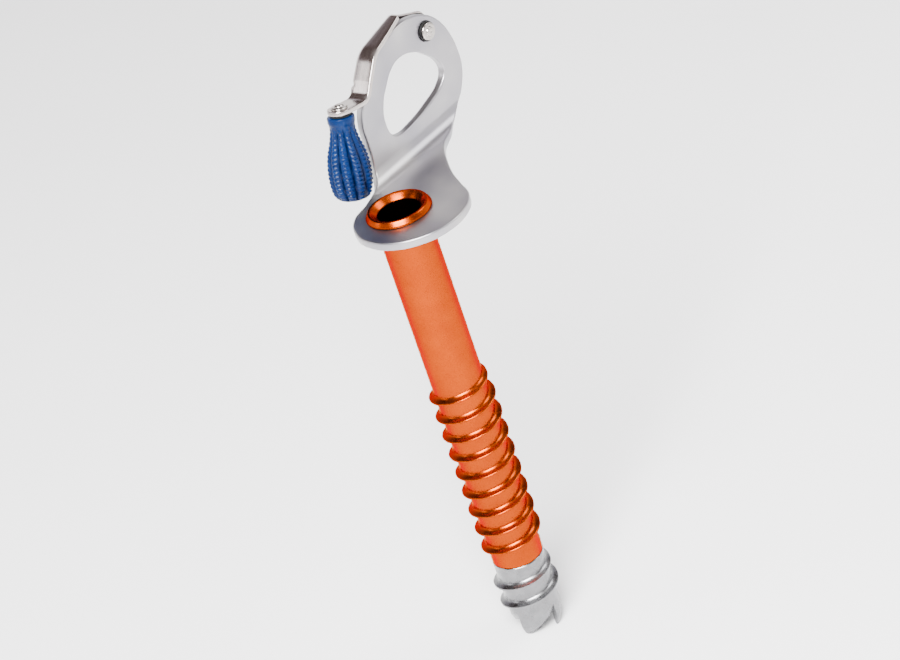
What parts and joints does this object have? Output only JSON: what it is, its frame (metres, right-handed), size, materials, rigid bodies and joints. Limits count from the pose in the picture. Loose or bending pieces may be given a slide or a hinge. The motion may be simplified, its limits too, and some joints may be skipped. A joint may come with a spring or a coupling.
{
  "type": "ice screw",
  "caption": "Ice screw: threaded tube with a toothed bit, bent hanger plate with a carabiner eye, and a crank with a ribbed spinning knob that folds along the plate.",
  "frame": {"origin": "on the tube's axis, at the hanger's underside, the face that meets the ice", "axes": "+Z along the tube's axis towards the open head; X along the hanger's fold; the eye plate stands on the +Y side, parallel to XZ"},
  "size_m": [0.0855, 0.052, 0.2189],
  "materials": {
    "hanger_aluminium": "satin, tumbled and polished",
    "orange_anodised": "orange anodised, semi-gloss",
    "bit_steel": "ground steel",
    "stainless": "polished stainless",
    "black_polymer": "matt",
    "blue_plastic": "moulded, semi-gloss"
  },
  "bodies": {
    "screw": {"hanger": "hanger_aluminium", "screw_tube": "orange_anodised", "drill_bit": "bit_steel", "pivot_rivet": "stainless", "pivot_front_washer": "black_polymer", "pivot_bush": "black_polymer", "pivot_thrust_washer": "black_polymer", "pivot_spring_washer": "stainless"},
    "crank": {"crank_arm": "stainless", "knob_axle": "stainless", "knob_top_washer": "black_polymer", "knob_end_washer": "stainless"},
    "knob": {"knob_grip": "blue_plastic", "knob_bush": "stainless"}
  },
  "joints": [
    {"name": "crank_fold", "type": "hinge", "parent": "screw", "child": "crank", "pos_m": [0.0555, 0.021, 0.0375], "axis": [0, 1, 0], "range_deg": [0, 168]},
    {"name": "knob_spin", "type": "hinge", "parent": "crank", "child": "knob", "pos_m": [0.00835, 0.021, 0.0354], "axis": [0.2079, 0, 0.9781], "continuous": true}
  ]
}
